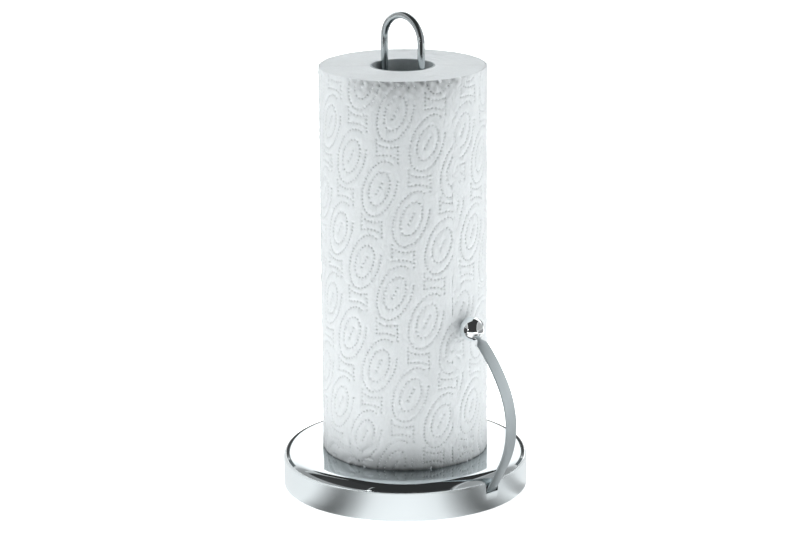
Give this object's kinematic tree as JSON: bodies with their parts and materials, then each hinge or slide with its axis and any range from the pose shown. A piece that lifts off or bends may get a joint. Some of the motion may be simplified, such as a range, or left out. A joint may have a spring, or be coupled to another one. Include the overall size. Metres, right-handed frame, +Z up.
{
  "type": "paper towel holder",
  "caption": "Free-standing paper towel holder with a weighted round steel base, a bent-wire spindle loop, a sprung arm with a ball tip, and its roll of embossed kitchen paper.",
  "frame": {"origin": "centre of the base's underside, on the surface it stands on", "axes": "+Z up along the spindle and the roll; +X towards the sprung arm, so the loop and the arm lie in the XZ plane"},
  "size_m": [0.1814, 0.164, 0.322],
  "materials": {
    "polished_steel": "polished and finely brushed stainless steel",
    "brushed_steel": "satin brushed stainless steel strip",
    "chrome": "mirror chrome plate",
    "cast_iron": "black painted cast iron",
    "black_plastic": "moulded black plastic",
    "rubber": "matt foamed rubber",
    "zinc_steel": "bright zinc-plated steel",
    "zinc_casting": "raw zinc die casting",
    "spring_steel": "oiled spring wire",
    "cardboard": "grey-brown core board",
    "wound_paper": "white tissue, wound with air between its layers",
    "paper": "embossed white tissue"
  },
  "bodies": {
    "stand": {"base_shell": "polished_steel", "ballast_weight": "cast_iron", "bottom_cover": "black_plastic", "cover_screws": "zinc_steel", "anti_slip_pad": "rubber", "spindle_loop": "polished_steel", "flat_washers": "zinc_steel", "lock_washers": "zinc_steel", "spindle_nuts": "zinc_steel", "pivot_bracket": "zinc_steel", "bracket_screws": "zinc_steel", "hinge_pin": "zinc_steel", "pin_clip": "zinc_steel", "torsion_spring": "spring_steel"},
    "arm": {"arm_blade": "brushed_steel", "arm_lever": "zinc_casting", "blade_rivets": "zinc_steel", "arm_ball": "chrome"},
    "roll_core": {"cardboard_core": "cardboard"},
    "roll_paper": {"paper_roll": "wound_paper", "tail_sheet": "paper"}
  },
  "joints": [
    {"name": "arm_swing", "type": "hinge", "parent": "stand", "child": "arm", "pos_m": [0.07599, 0, 0.01251], "axis": [0, 1, 0], "range_deg": [0, 12], "stiffness_Nm_per_rad": 0.6, "springref_deg": -20.05, "deforming": ["torsion_spring"]},
    {"name": "roll_lift", "type": "slide", "parent": "stand", "child": "roll_core", "axis": [0, 0, 1], "range_m": [0, 0.3]},
    {"name": "roll_spin", "type": "hinge", "parent": "roll_core", "child": "roll_paper", "pos_m": [0, 0, 0.1566], "axis": [0, 0, 1], "continuous": true}
  ]
}
